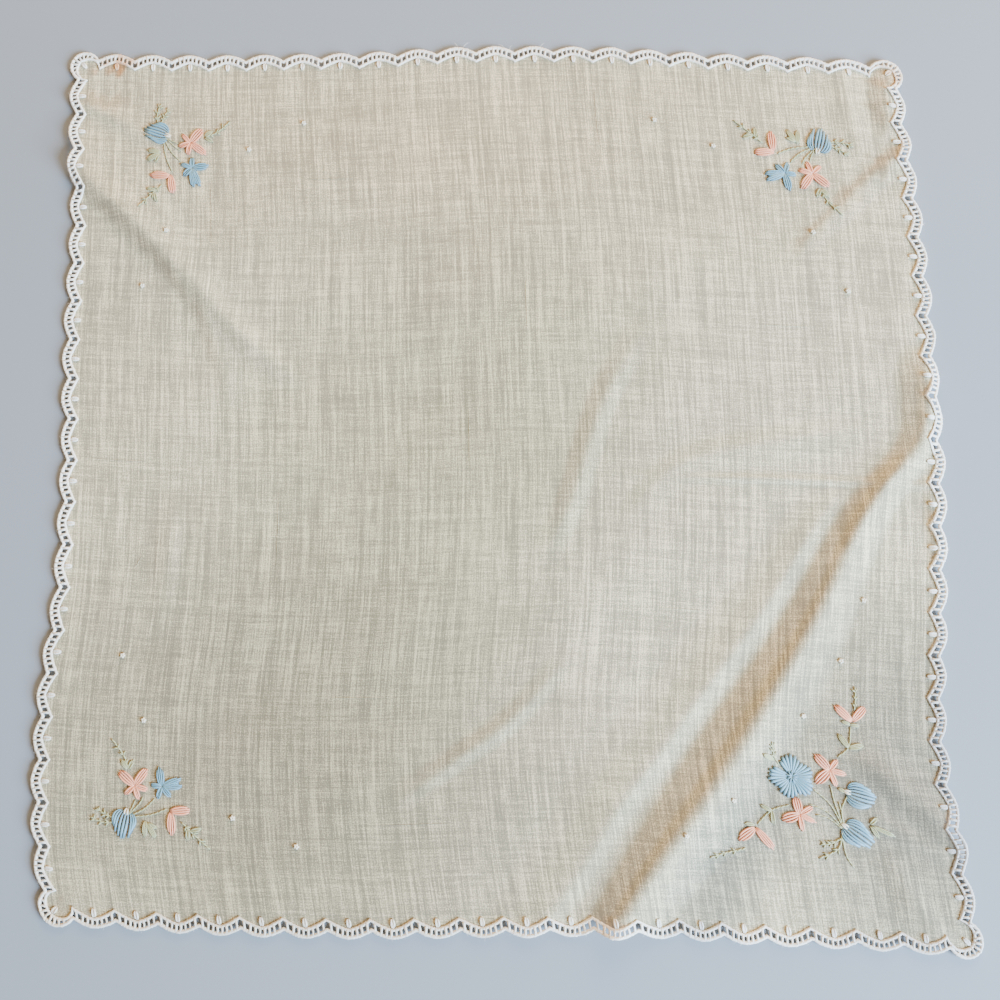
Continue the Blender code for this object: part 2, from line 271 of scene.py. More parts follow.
def drift_at(flat):
    """How far the laid cloth has moved, blended inwards from its four sides."""
    u_station, v_station = flat.T / PITCH
    a = np.clip((flat[:, :1] / NOTCH_LINE + 1) / 2, 0, 1)
    b = np.clip((flat[:, 1:] / NOTCH_LINE + 1) / 2, 0, 1)
    bottom = smooth_through(DRIFT["bottom"], u_station)
    top = smooth_through(DRIFT["top"], u_station)
    left = smooth_through(DRIFT["left"], v_station)
    right = smooth_through(DRIFT["right"], v_station)
    corners = [np.array(DRIFT[side][end][1:]) for side in ("bottom", "top") for end in (0, -1)]
    flat_part = (1 - a) * (1 - b) * corners[0] + a * (1 - b) * corners[1]
    flat_part += (1 - a) * b * corners[2] + a * b * corners[3]
    return (1 - b) * bottom + b * top + (1 - a) * left + a * right - flat_part


def slope(share):
    """Height share along a slope, from 0 at its foot to 1 at its crest, rounded at both."""
    share = np.clip(share, 0, 1)
    soft = SLOPE_ROUNDING
    steep = 1 / (1 - soft)
    foot = steep * share**2 / (2 * soft)
    crest = 1 - steep * (1 - share) ** 2 / (2 * soft)
    straight = steep * (share - soft / 2)
    return np.where(share < soft, foot, np.where(share > 1 - soft, crest, straight))


def fold_height(flat, rows):
    """How high one fold lifts each point of the flat cloth."""
    stations = np.arange(len(rows), dtype=float)
    table = np.column_stack((stations, np.array(rows, float)))
    spine = smooth_through(table, np.linspace(0, stations[-1], (len(rows) - 1) * SPINE_STEPS + 1))
    nearest = np.full(len(flat), np.inf)
    height = np.zeros(len(flat))
    for start, end in zip(spine[:-1], spine[1:]):
        run = end[:2] - start[:2]
        away = flat - start[:2]
        t = np.clip(away @ run / (run @ run), 0, 1)
        away = away - t[:, None] * run
        distance = np.linalg.norm(away, axis=1)
        row = start + t[:, None] * (end - start)
        to_left = run[0] * away[:, 1] - run[1] * away[:, 0] > 0
        reach = np.where(to_left, row[:, 3], row[:, 4])
        closer = distance < nearest
        height = np.where(closer, row[:, 2] * slope(1 - distance / reach), height)
        nearest = np.minimum(nearest, distance)
    return np.maximum(height, 0)


# The one source of unevenness, which every stitch draws from in turn
UNEVEN = np.random.default_rng(5)


def heading_axes(degrees):
    """The direction of a heading on the flat cloth, and the direction to its left."""
    ahead = np.array((math.cos(math.radians(degrees)), math.sin(math.radians(degrees))))
    return ahead, np.array((-ahead[1], ahead[0]))


# Gentle waves that keep the lawn from lying dead flat: height, then wave length
# and heading of each, in millimetres and degrees
RIPPLES = ((0.16, 61.0, 12.0), (0.13, 47.0, 78.0), (0.10, 33.0, 131.0), (0.06, 19.0, 40.0))
# The gathers' height, and how far inwards they fade out, in millimetres
GATHER_HEIGHT = 0.12
GATHER_REACH = 5.0


def ripple_height(flat):
    """Low waves over the whole cloth, and the small gathers that the edging's stitches pull."""
    height = np.zeros(len(flat))
    for lift, length, heading in RIPPLES:
        way = heading_axes(heading)[0]
        height += lift * (1 + np.sin(flat @ way * math.tau / length + heading)) / 2
    rim = NOTCH_LINE - INNER_START - INNER_DEPTH
    for across, along in ((0, 1), (1, 0)):
        inside = np.maximum(rim - np.abs(flat[:, across]), 0)
        wave = 0.5 + 0.5 * np.cos(flat[:, along] * math.tau / PITCH)
        height += GATHER_HEIGHT * wave * np.exp(-inside / GATHER_REACH) * (inside > 0)
    return height


def lift_at(flat):
    """How high the cloth's underside lies above the surface."""
    main = np.max([fold_height(flat, rows) for rows in FOLDS.values()], axis=0)
    fine = np.max([fold_height(flat, rows) for rows in FINE_FOLDS.values()], axis=0)
    return main + fine + ripple_height(flat)


def laid(points):
    """Each point, u, v and height above the cloth's underside, in its place in metres."""
    flat = points[:, :2]
    return np.column_stack((flat + drift_at(flat), points[:, 2] + lift_at(flat))) * METRES_PER_MM


# Colours and materials


def linear(code):
    """A colour written as sRGB hex, in Blender's linear numbers."""
    shares = [int(code[i : i + 2], 16) / 255 for i in (0, 2, 4)]
    return [c / 12.92 if c <= 0.04045 else ((c + 0.055) / 1.055) ** 2.4 for c in shares]


def node(tree, kind, inputs=None, out=0, **settings):
    """Adds a shader node, sets its properties, fills or links its inputs, and gives an output."""
    made = tree.nodes.new("ShaderNode" + kind)
    for key, value in settings.items():
        setattr(made, key, value)
    for key, value in (inputs or {}).items():
        socket = made.inputs[key]
        if isinstance(value, bpy.types.NodeSocket):
            tree.links.new(value, socket)
        else:
            socket.default_value = (*value, 1.0) if socket.type == "RGBA" else value
    return made.outputs[out]


def new_material(name, **surface):
    """A material with its Principled shader's sockets set, as its node tree and that shader."""
    made = bpy.data.materials.new(name)
    made.use_nodes = True
    shader = made.node_tree.nodes["Principled BSDF"]
    for key, value in surface.items():
        shader.inputs[key.replace("_", " ")].default_value = value
    return made.node_tree, shader


# Marks: place, half length, half width, heading in degrees, strength, and the colour that the cloth is
# tinted with. The first ten are small yellow, orange and brown marks. The last five are broad, faint
# differences in tone: painted warm light over the top, a darker, greener middle, painted shade at the
# lower left and at the lower right, and bluish painted shade beside the lower part of the main fold
MARKS = (
    (135, 107, 9, 3.2, 42, 0.45, "c79d66"),
    (121.5, 94, 10, 2.6, 45, 0.32, "c79d66"),
    (107.5, 80, 8, 2.4, 46, 0.26, "c79d66"),
    (136, 127.5, 3.8, 10, 2, 0.45, "a98a62"),
    (141.5, 138.5, 6, 5, 20, 0.55, "dca45c"),
    (-127.5, 140.5, 8, 3, 12, 0.80, "e6a45c"),
    (-131, 126, 10, 2.8, -2, 0.30, "ecc79d"),
    (-140.5, -141.5, 5, 4, 0, 0.25, "e3bf7a"),
    (-5, -143.5, 4, 3, 0, 0.25, "e3bf7a"),
    (31, -143, 6, 3.5, 20, 0.30, "e0ad78"),
    # Painted warm light over the top, a darker, greener middle, painted shade at the lower left and lower
    # right, and bluish painted shade beside the main fold's lower part
    (0, 108, 120, 50, 0, 0.50, "fff1e6"),
    (-20, 0, 90, 60, 60, 0.50, "bdc0a6"),
    (-70, -100, 100, 70, 0, 0.70, "b2aea2"),
    (128, -100, 38, 58, 0, 0.70, "8c8e98"),
    (72, -122, 45, 12.5, 55, 0.60, "9fb0c4"),
)
# Where a mark ends as a share of its size, how sharp its rim is, and its stray in millimetres
MARK_REACH = 1.2
MARK_RIM = 0.7
STRAY = 2.4


def stain_and_painted_light_tint(flat):
    """What each place of the flat cloth is tinted with by its marks and by the painted light and shade, 1
    where no mark lies. Marks have wavy rims.
    """
    u, v = flat.T
    stray_u = np.sin(v * 0.61 + 1.3 * np.sin(u * 0.23)) + np.sin(v * 1.27 + u * 0.4)
    stray_v = np.sin(u * 0.57 + 1.1 * np.sin(v * 0.31)) + np.sin(u * 1.33 - v * 0.5)
    strayed = flat + STRAY / 2 * np.column_stack((stray_u, stray_v))
    tint = np.ones((len(flat), 3))
    for place_u, place_v, length, width, heading, strength, code in MARKS:
        ahead, aside = heading_axes(heading)
        away = strayed - (place_u, place_v)
        distance = np.hypot(away @ ahead / length, away @ aside / width)
        share = strength * np.clip(MARK_REACH - distance, 0, 1) ** MARK_RIM
        tint *= 1 + share[:, None] * (np.array(linear(code)) - 1)
    return tint


def flat_places(tree):
    """The flat cloth's own coordinates in millimetres, from the piece's UV map."""
    own = node(tree, "TexCoord", out="UV")
    centred = node(tree, "VectorMath", {0: own, 1: (0.5, 0.5, 0)}, operation="SUBTRACT")
    return node(tree, "VectorMath", {0: centred, 1: (FLAT_SPAN, FLAT_SPAN, 0)}, operation="MULTIPLY")


def with_stains_and_painted_light(tree, colour):
    """The colour with the marks and the painted light and shade laid over it, which the mesh holds as its
    tint.
    """
    tint = node(tree, "Attribute", out="Color", attribute_name="tint")
    return node(tree, "Mix", {0: 1.0, 6: colour, 7: tint}, 2, data_type="RGBA", blend_type="MULTIPLY")


# Share of the light that the sheer lawn stops
SHEERNESS = 0.88

# The weave's streaks: millimetres across u, across v, and weight. Warp first, then weft.
# Real threads lie 0.4 mm apart or closer. The finest streaks are drawn at about that
# size, and coarser ones up to 3 mm wide stand for the uneven yarn, which shows in bands
WEAVE = (
    (0.45, 9, 0.32), (0.80, 40, 0.36), (2.4, 90, 0.20),
    (6, 0.45, 0.20), (30, 0.80, 0.18), (90, 3, 0.10),
)
KNOT_SIZE = (0.42, 0.38)
KNOT_WEIGHT = 0.50
# Weave sums that take the shade and the full colour
WEAVE_DARK = 0.75
WEAVE_LIGHT = 1.10
# Light threads stand out as much as dark ones only where shares grow faster than even
WEAVE_POWER = 1.9
STREAK_ROUGHNESS = 0.6
# Strength and depth in metres of each bump
WEAVE_BUMP = {"Strength": 0.55, "Distance": 0.00012}
COTTON_BUMP = {"Strength": 0.6, "Distance": 0.0002}
# Clouds of a warmer tone: millimetres along u and v, share, colour
CLOUD_SIZE = (34, 30)
CLOUD = (0.12, "c8a894")
# Patches per millimetre of fibres and of fading, their shares, and the faded colour
FIBRE_SCALE = 1.9
FIBRE_SHARE = 0.35
FADED_SCALE = 0.7
FADED = (0.2, "d2d0c6")
# Values of the mesh between which painted shade turns into full colour: height in millimetres on the
# edging, and how far a stitch's surface faces up. The low parts of the cords and the sides and grooves of
# the stitches are painted darker, where shade falls
EDGING_RISE = (0.35, 1.15)
STITCH_FACING = (0.2, 1.0)


def streaks(tree, flat, across_u, across_v, detail=1.0):
    """Noise drawn out along the threads: the two sizes are millimetres along u and v."""
    per_mm = (1 / across_u, 1 / across_v, 0)
    drawn = node(tree, "VectorMath", {0: flat, 1: per_mm}, operation="MULTIPLY")
    noise = {"Vector": drawn, "Scale": 1.0, "Detail": detail, "Roughness": STREAK_ROUGHNESS}
    return node(tree, "TexNoise", noise, noise_dimensions="2D")


def patched(tree, base, patches, share, colour):
    """The base colour with another laid over it where the noise is strong, by a share at most."""
    share = node(tree, "Math", {0: patches, 1: share}, operation="MULTIPLY")
    return node(tree, "Mix", {0: share, 6: base, 7: colour}, 2, data_type="RGBA")


def greyed_linen(colours):
    """Bleached linen lawn gone greige with age: matt, with uneven threads that show as streaks."""
    tree, shader = new_material(
        "greyed_linen",
        Roughness=0.82,
        Sheen_Weight=0.22,
        Sheen_Roughness=0.45,
        Specular_IOR_Level=0.3,
        Alpha=SHEERNESS,
    )
    flat = flat_places(tree)
    knots = streaks(tree, flat, *KNOT_SIZE)
    threads = node(tree, "Math", {0: knots, 1: KNOT_WEIGHT}, operation="MULTIPLY")
    for across_u, across_v, weight in WEAVE:
        streak = streaks(tree, flat, across_u, across_v)
        threads = node(tree, "Math", {0: streak, 1: weight, 2: threads}, operation="MULTIPLY_ADD")
    share = node(tree, "MapRange", {"Value": threads, "From Min": WEAVE_DARK, "From Max": WEAVE_LIGHT})
    share = node(tree, "Math", {0: share, 1: WEAVE_POWER}, operation="POWER")
    base = node(tree, "Mix", {0: share, 6: colours.linen_shade, 7: colours.linen}, 2, data_type="RGBA")
    share, cloud = CLOUD
    base = patched(tree, base, streaks(tree, flat, *CLOUD_SIZE, 2.0), share, linear(cloud))
    tree.links.new(with_stains_and_painted_light(tree, base), shader.inputs["Base Color"])
    tree.links.new(node(tree, "Bump", {**WEAVE_BUMP, "Height": threads}), shader.inputs["Normal"])


def by_share(tree, name, span, shade, colour):
    """Painted shade low between the threads and on their sides, and the full colour on top of them, by a
    value of the mesh.
    """
    value = node(tree, "Attribute", out="Fac", attribute_name=name)
    ends = {"Value": value, "From Min": span[0], "From Max": span[1]}
    share = node(tree, "MapRange", ends, interpolation_type="SMOOTHSTEP")
    return node(tree, "Mix", {0: share, 6: shade, 7: colour}, 2, data_type="RGBA")


def white_cotton(colours):
    """Mercerised cotton over a filler cord: warm white, softly bright, ribbed by its stitches."""
    tree, shader = new_material("white_cotton", Roughness=0.7, Sheen_Weight=0.3)
    noise = {"Vector": flat_places(tree), "Scale": FIBRE_SCALE, "Detail": 2.0}
    fibres = node(tree, "TexNoise", noise, noise_dimensions="2D")
    # Painted shade: the edging's low parts and the places between its stitches take the shade colour
    base = by_share(tree, "rise", EDGING_RISE, colours.edging_shade_and_fibres, colours.edging)
    # Darker patches of fibres, in the same colour as the painted shade
    base = patched(tree, base, fibres, FIBRE_SHARE, colours.edging_shade_and_fibres)
    tree.links.new(with_stains_and_painted_light(tree, base), shader.inputs["Base Color"])
    tree.links.new(node(tree, "Bump", {**COTTON_BUMP, "Height": fibres}), shader.inputs["Normal"])


def stranded_cotton(name, colour, shade):
    """Stranded embroidery cotton: a soft sheen along the thread, faded a little unevenly."""
    tree, shader = new_material(name, Roughness=0.5, Sheen_Weight=0.2)
    # Painted shade: each stitch's sides and the grooves between the stitches take the shade colour, its
    # top the full colour
    base = by_share(tree, "facing", STITCH_FACING, shade, colour)
    noise = {"Vector": flat_places(tree), "Scale": FADED_SCALE, "Detail": 2.0}
    patches = node(tree, "TexNoise", noise, noise_dimensions="2D")
    share, faded = FADED
    tree.links.new(patched(tree, base, patches, share, linear(faded)), shader.inputs["Base Color"])


# Making pieces


def placed(name, data):
    """A new object in the scene."""
    made = bpy.data.objects.new(name, data)
    bpy.context.scene.collection.objects.link(made)
    return made


def flat_uv(mesh, places):
    """Writes the flat cloth's coordinates as the mesh's UV map."""
    corners = np.empty(len(mesh.loops), np.int32)
    mesh.loops.foreach_get("vertex_index", corners)
    while mesh.uv_layers:
        mesh.uv_layers.remove(mesh.uv_layers[0])
    layer = mesh.uv_layers.new(name="flat")
    layer.uv.foreach_set("vector", (places[corners, :2] / FLAT_SPAN + 0.5).ravel().astype(np.float32))


def keep(mesh, name, kind, field, values):
    """Stores a value for each point of the mesh under a name that materials can read."""
    layer = mesh.attributes.new(name, kind, "POINT")
    layer.data.foreach_set(field, np.asarray(values, np.float32).ravel())


def lay_down(mesh):
    """Keeps the mesh's flat places, heights, facing, and its marks with the painted light and shade, then
    moves each point to its place.
    """
    places = np.empty(len(mesh.vertices) * 3, np.float32)
    mesh.vertices.foreach_get("co", places)
    places = places.reshape(-1, 3).astype(float)
    flat_uv(mesh, places)
    keep(mesh, "rise", "FLOAT", "value", places[:, 2])
    facing = np.empty(len(mesh.vertices) * 3, np.float32)
    mesh.vertex_normals.foreach_get("vector", facing)
    keep(mesh, "facing", "FLOAT", "value", facing[2::3])
    tint = np.column_stack((stain_and_painted_light_tint(places[:, :2]), np.ones(len(places))))
    keep(mesh, "tint", "FLOAT_COLOR", "color", tint)
    mesh.vertices.foreach_set("co", laid(places).ravel().astype(np.float32))
    mesh.update()


def dress(name, mesh, coat, slot, *replaced):
    """Turns a laid mesh into a piece of the handkerchief, in the material of that name."""
    mesh.materials.clear()
    mesh.materials.append(bpy.data.materials[coat])
    mesh.shade_smooth()
    piece = placed(name, mesh)
    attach(piece, "root")
    if replaced:
        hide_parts(*replaced)


# Points of a thread closer than this, in millimetres, become one
SAME_POINT = 1e-4


def thread_mesh(name, strands, roundness=1):
    """One laid mesh of many threads, each given as flat points and a radius at each point."""
    curve = bpy.data.curves.new(name, "CURVE")
    curve.dimensions = "3D"
    curve.bevel_depth = 1.0
    curve.bevel_resolution = roundness
    curve.use_fill_caps = True
    for points, radii in strands:
        line = curve.splines.new("POLY")
        line.points.add(len(points) - 1)
        line.points.foreach_set("co", np.column_stack((points, np.ones(len(points)))).ravel())
        line.points.foreach_set("radius", np.broadcast_to(radii, len(points)).astype(float))
    drawn = placed(name, curve)
    bpy.context.view_layer.update()
    graph = bpy.context.evaluated_depsgraph_get()
    mesh = bpy.data.meshes.new_from_object(drawn.evaluated_get(graph))
    bpy.data.objects.remove(drawn)
    work = bmesh.new()
    work.from_mesh(mesh)
    bmesh.ops.remove_doubles(work, verts=work.verts, dist=SAME_POINT)
    bmesh.ops.recalc_face_normals(work, faces=work.faces)
    work.to_mesh(mesh)
    work.free()
    lay_down(mesh)
    mesh.name = name
    return mesh


def millimetres(name, said, default):
    """A length that the panel can change."""
    return FloatProperty(name=name, description=said + ", mm", default=default)


def tone(name, said, code):
    """A colour that the panel can change."""
    return FloatVectorProperty(name=name, description=said, subtype="COLOR", default=linear(code))


class HandkerchiefSizes(bpy.types.PropertyGroup):
    """Sizes of the lawn, threads and cords."""

    underside: millimetres("Clearance", "Height of the lawn's underside", 0.2)
    lawn: millimetres("Lawn", "Height of the lawn above its underside", 0.3)
    cells: IntProperty(name="Cells", description="Cells along each side of the lawn", default=300)
    outer_cord: millimetres("Outer cord", "Radius of the outer cord", 0.54)
    inner_cord: millimetres("Inner cord", "Radius of the inner cord", 0.45)
    bar: millimetres("Bar", "Radius of a ladder bar", 0.39)
    strand: millimetres("Strand", "Radius of an embroidery stitch", 0.30)


class HandkerchiefColours(bpy.types.PropertyGroup):
    """Colours of the cloth and its threads."""

    linen: tone("Linen", "Lit threads of the lawn", "fbefc4")
    linen_shade: tone("Linen gaps", "Gaps between the threads", "928e74")
    edging: tone("Edging", "Warm white cotton", "fffdf3")
    # Painted shade in the edging's low places, between its stitches, and on the sides of the cream dots;
    # also the colour of the edging's darker fibre patches
    edging_shade_and_fibres: tone("Edging shade", "Between the edging's stitches", "cfc5ae")
    blue: tone("Blue", "Pale blue petals", "5f9db0")
    # Painted shade on the sides of the blue stitches and in their grooves
    blue_shade: tone("Blue shade", "Grooves between the blue stitches", "2a5a70")
    pink: tone("Pink", "Peach pink petals", "ffaa7e")
    # Painted shade on the sides of the pink stitches and in their grooves
    pink_shade: tone("Pink shade", "Grooves between the pink stitches", "c86840")
    green: tone("Green", "Olive stems and leaves", "a8aa74")
    # Painted shade on the sides of the olive stitches and in their grooves
    green_shade: tone("Green shade", "Grooves between the olive stitches", "84875a")
    cream: tone("Cream", "Cream dots and bud caps", "f4eed4")


# How far the lawn's cut edge reaches under the inner cord, in millimetres
UNDER_CORD = 0.35
# Points of that edge in each scallop
RIM_STEPS = 12
# Edges of the lawn's mesh shorter than this, in millimetres, are closed up
SHORTEST_EDGE = 0.01


def top_of_lawn():
    """Height of the lawn's upper face above the surface, where it lies flat."""
    sizes = bpy.context.scene.handkerchief_sizes
    return sizes.underside + sizes.lawn


def rim_loop(steps):
    """The lawn's cut edge all round, which the inner cord covers, as flat places."""
    t = np.arange(steps) / steps
    loop = []
    for side in SIDES:
        for scallop in range(SCALLOPS):
            loop.append(turned(*side_scallop(scallop, t)[1], side))
        loop.append(turned(*corner_lobe(t)[1], side))
    loop = np.concatenate(loop)
    run = np.roll(loop, -1, axis=0) - np.roll(loop, 1, axis=0)
    run /= np.linalg.norm(run, axis=1)[:, None]
    return loop + UNDER_CORD * np.stack((run[:, 1], -run[:, 0]), axis=-1)


def inside_loop(points, loop):
    """True for each point that lies inside a closed outline."""
    inside = np.zeros(len(points), bool)
    for (x1, y1), (x2, y2) in zip(loop, np.roll(loop, -1, axis=0)):
        if y1 == y2:
            continue
        crosses = (y1 > points[:, 1]) != (y2 > points[:, 1])
        inside ^= crosses & (points[:, 0] < x1 + (points[:, 1] - y1) / (y2 - y1) * (x2 - x1))
    return inside


def onto_loop(points, loop):
    """Each point moved to the nearest place on a closed outline."""
    best = np.full(len(points), np.inf)
    place = points.copy()
    for start, end in zip(loop, np.roll(loop, -1, axis=0)):
        run = end - start
        t = np.clip((points - start) @ run / (run @ run), 0, 1)
        there = start + t[:, None] * run
        distance = np.linalg.norm(points - there, axis=1)
        closer = distance < best
        place[closer] = there[closer]
        best = np.minimum(best, distance)
    return place


class HANDKERCHIEF_OT_lawn(bpy.types.Operator):
    """Lay the linen lawn, cut to the scallops"""

    bl_idname = "handkerchief.lawn"
    bl_label = "Lay the lawn"

    def execute(self, context):
        cells = context.scene.handkerchief_sizes.cells
        work = bmesh.new()
        bmesh.ops.create_grid(work, x_segments=cells, y_segments=cells, size=FLAT_SPAN / 2)
        loop = rim_loop(RIM_STEPS)
        places = np.array([corner.co.xy for corner in work.verts])
        inside = inside_loop(places, loop)
        off = [f for f in work.faces if not any(inside[corner.index] for corner in f.verts)]
        bmesh.ops.delete(work, geom=off, context="FACES")
        rim = [corner for corner in work.verts if corner.is_boundary]
        for corner, place in zip(rim, onto_loop(np.array([c.co.xy for c in rim]), loop)):
            corner.co.xy = place
        bmesh.ops.dissolve_degenerate(work, edges=work.edges, dist=SHORTEST_EDGE)
        for corner in work.verts:
            corner.co.z = top_of_lawn()
        mesh = bpy.data.meshes.new("lawn")
        work.to_mesh(mesh)
        work.free()
        lay_down(mesh)
        dress("lawn", mesh, "greyed_linen", "linen_lawn", "cloth")
        return {"FINISHED"}


# Points along a cord for each scallop, and bars in a scallop and in a lobe
CORD_STEPS = 30
BARS = 8
LOBE_BARS = 10
# A cord's ribs as a share of its radius, and how far its stitches stray in millimetres
RIB = 0.10
CORD_STRAY = 0.06
# A bar sags in its middle, in millimetres, and is thickest where it is sewn to the cords
BAR_SAG = 0.08
BAR_SHAPE = np.array((1.3, 0.85, 1.3))


def edging_rails(steps):
    """Outer and inner edge of a side's edging, from the middle of one corner lobe to the next."""
    half = np.linspace(0, 0.5, steps // 2 + 1)
    end = [np.stack(edge, axis=-1) for edge in corner_lobe(half)]
    rails = []
    t = np.arange(1, steps + 1) / steps
    for edge in (0, 1):
        run = [end[edge][::-1] * (-1, 1)]
        for scallop in range(SCALLOPS):
            run.append(np.stack(side_scallop(scallop, t)[edge], axis=-1))
        run.append(end[edge][1:])
        rails.append(np.concatenate(run))
    return rails


def drawn_in(rail, distance):
    """A side's edge moved to its right hand by a distance, as seen along its run."""
    run = np.gradient(rail, axis=0)
    run /= np.linalg.norm(run, axis=1)[:, None]
    return rail + distance * np.stack((run[:, 1], -run[:, 0]), axis=-1)


class HANDKERCHIEF_OT_edging(bpy.types.Operator):
    """Sew the ladder edging round the lawn: two cords joined by bars"""

    bl_idname = "handkerchief.edging"
    bl_label = "Sew the ladder edging"

    def execute(self, context):
        sizes = context.scene.handkerchief_sizes
        height = sizes.underside + sizes.outer_cord
        outer, inner = edging_rails(CORD_STEPS)
        outer = drawn_in(outer, sizes.outer_cord)
        inner = drawn_in(inner, -sizes.inner_cord)
        for side in SIDES:
            strands = []
            for rail, radius in ((outer, sizes.outer_cord), (inner, sizes.inner_cord)):
                ribs = 1 + RIB * np.where(np.arange(len(rail)) % 2, 1, -1)
                ribs = radius * (ribs + UNEVEN.uniform(-RIB, RIB, len(rail)))
                strayed = rail + UNEVEN.uniform(-CORD_STRAY, CORD_STRAY, rail.shape)
                flat = turned(*strayed.T, side)
                strands.append((np.column_stack((flat, np.full(len(flat), height))), ribs))
            for foot, head in self.bars(outer, inner):
                flat = turned(*np.array((foot, (foot + head) / 2, head)).T, side)
                points = np.column_stack((flat, (height, height - BAR_SAG, height)))
                strands.append((points, sizes.bar * UNEVEN.uniform(0.9, 1.2) * BAR_SHAPE))
            mesh = thread_mesh("edging_lace_" + side, strands, 2)
            dress("edging_lace_" + side, mesh, "white_cotton", "cotton_edging", "edging_" + side)
        return {"FINISHED"}

    def bars(self, outer, inner):
        """Both ends of each ladder bar along one side."""
        half_lobe = CORD_STEPS // 2
        for i in range(LOBE_BARS // 2):
            share = (i + 0.5) / (LOBE_BARS / 2)
            for at in (half_lobe * share, len(outer) - 1 - half_lobe * share):
                yield self.at(outer, at), self.at(inner, at)
        for scallop in range(SCALLOPS):
            for i in range(BARS):
                at = half_lobe + CORD_STEPS * (scallop + (i + 0.5) / BARS)
                yield self.at(outer, at), self.at(inner, at)

    def at(self, rail, place):
        """The point at a fractional place along a rail."""
        low = int(place)
        return rail[low] + (place - low) * (rail[min(low + 1, len(rail) - 1)] - rail[low])


# A petal's width along its length, as shares, from its base to its blunt tip
PETAL_BODY = ((0.0, 0.30), (0.22, 0.76), (0.5, 1.0), (0.78, 0.98), (1.0, 0.72))
STITCH_POINTS = np.linspace(0, 1, 7)
# How full a stitch is along its length, before a power rounds it
STITCH_SWELL = np.sin(math.pi * np.clip(STITCH_POINTS, 0.04, 0.96))
# A straight stitch's thickness along it, as a share of a strand: it spreads towards its blunt end
STRAIGHT_STITCH = np.array((0.4, 0.8, 1.2, 1.6, 1.95, 2.05, 1.5))
# How far the middle of a stitch stands up, in millimetres
PETAL_CROWN = 0.3
FAN_CROWN = 0.3
BLOSSOM_CROWN = 0.28


def shares(count):
    """Evenly spaced places from -1 to 1, one for each stitch of a bundle."""
    return (np.arange(count) + 0.5) / count * 2 - 1


def satin(base, heading, length, width, stitches, strand, crown=PETAL_CROWN):
    """A petal of long stitches side by side, with a groove down its middle."""
    ahead, aside = heading_axes(heading)
    body = smooth_through(PETAL_BODY, STITCH_POINTS)[:, 0]
    bulge = STITCH_SWELL**0.6
    top = top_of_lawn()
    for share in shares(stitches):
        reach = length * (1 - 0.2 * share**2) * UNEVEN.uniform(0.93, 1.04)
        across = share * (width / 2 - strand * 0.7) * body
        flat = np.array(base) + np.outer(STITCH_POINTS * reach, ahead) + np.outer(across, aside)
        ridge = 1 - 0.7 * (2 * abs(share) - 1) ** 2
        rise = top + strand * 0.5 + crown * ridge * bulge
        yield np.column_stack((flat, rise)), strand * (0.6 + 0.55 * bulge) * UNEVEN.uniform(0.9, 1.1)


def fan(base, heading, length, spread, stitches, strand):
    """A rounded bud of stitches that leave its base, bow outwards and end in a serrated rim."""
    ahead, aside = heading_axes(heading)
    t = STITCH_POINTS[:, None]
    bulge = STITCH_SWELL**0.5
    top = top_of_lawn()
    for share in shares(stitches):
        way = heading_axes(heading + share * spread + UNEVEN.uniform(-2.5, 2.5))[0]
        reach = length * (1 - 0.36 * abs(share) ** 1.5) * UNEVEN.uniform(0.88, 1.04)
        start = np.array(base) + aside * share * 2.0
        bend = start + ahead * reach * 0.22 + aside * share * reach * 0.56
        tip = np.array(base) + way * reach
        flat = (1 - t) ** 2 * start + 2 * t * (1 - t) * bend + t**2 * tip
        rise = top + strand * 0.5 + FAN_CROWN * bulge * (1 - 0.4 * share**2)
        yield np.column_stack((flat, rise)), strand * STRAIGHT_STITCH * UNEVEN.uniform(0.75, 0.95)


def short_stitch(flat, strand, rise, thickness):
    """A stitch of three points: its rise above the lawn and its thickness are shares of a strand."""
    points = np.column_stack((flat, top_of_lawn() + strand * np.array(rise)))
    return points, strand * np.array(thickness)


# Short stitches over the open flower's middle, and how far they reach in millimetres
EYE_STITCHES = 9
EYE_RADIUS = 2.1


def blossom(middle, lobes, stitches, strand):
    """An open flower: lobes of straight stitches that widen outwards, with short ones over its eye."""
    top = top_of_lawn()
    for heading, reach, spread in lobes:
        for share in shares(stitches):
            way = heading_axes(heading + share * spread)[0]
            tip = reach * (1 - 0.28 * abs(share) ** 3) * UNEVEN.uniform(0.95, 1.03)
            flat = np.array(middle) + np.outer(0.1 + STITCH_POINTS * (tip - 0.1), way)
            rise = top + strand * 0.5 + BLOSSOM_CROWN * STITCH_SWELL**0.7
            yield np.column_stack((flat, rise)), strand * STRAIGHT_STITCH
    for i in range(EYE_STITCHES):
        way = heading_axes(i * 360 / EYE_STITCHES + UNEVEN.uniform(-6, 6))[0]
        tip = EYE_RADIUS * UNEVEN.uniform(0.85, 1.1)
        flat = np.array(middle) + np.outer((0.0, 0.5 * tip, tip), way)
        yield short_stitch(flat, strand, (2.0, 2.6, 1.6), (0.7, 0.85, 0.9))


# Length of a stem stitch, length of a sprig's side stitches, how far they lean in
# degrees, and how many pairs a sprig has
STEM_STITCH = 1.6
SPRIG_STITCH = 1.7
SPRIG_LEAN = 44.0
SPRIG_PAIRS = 3
STEM_SAMPLES = 24


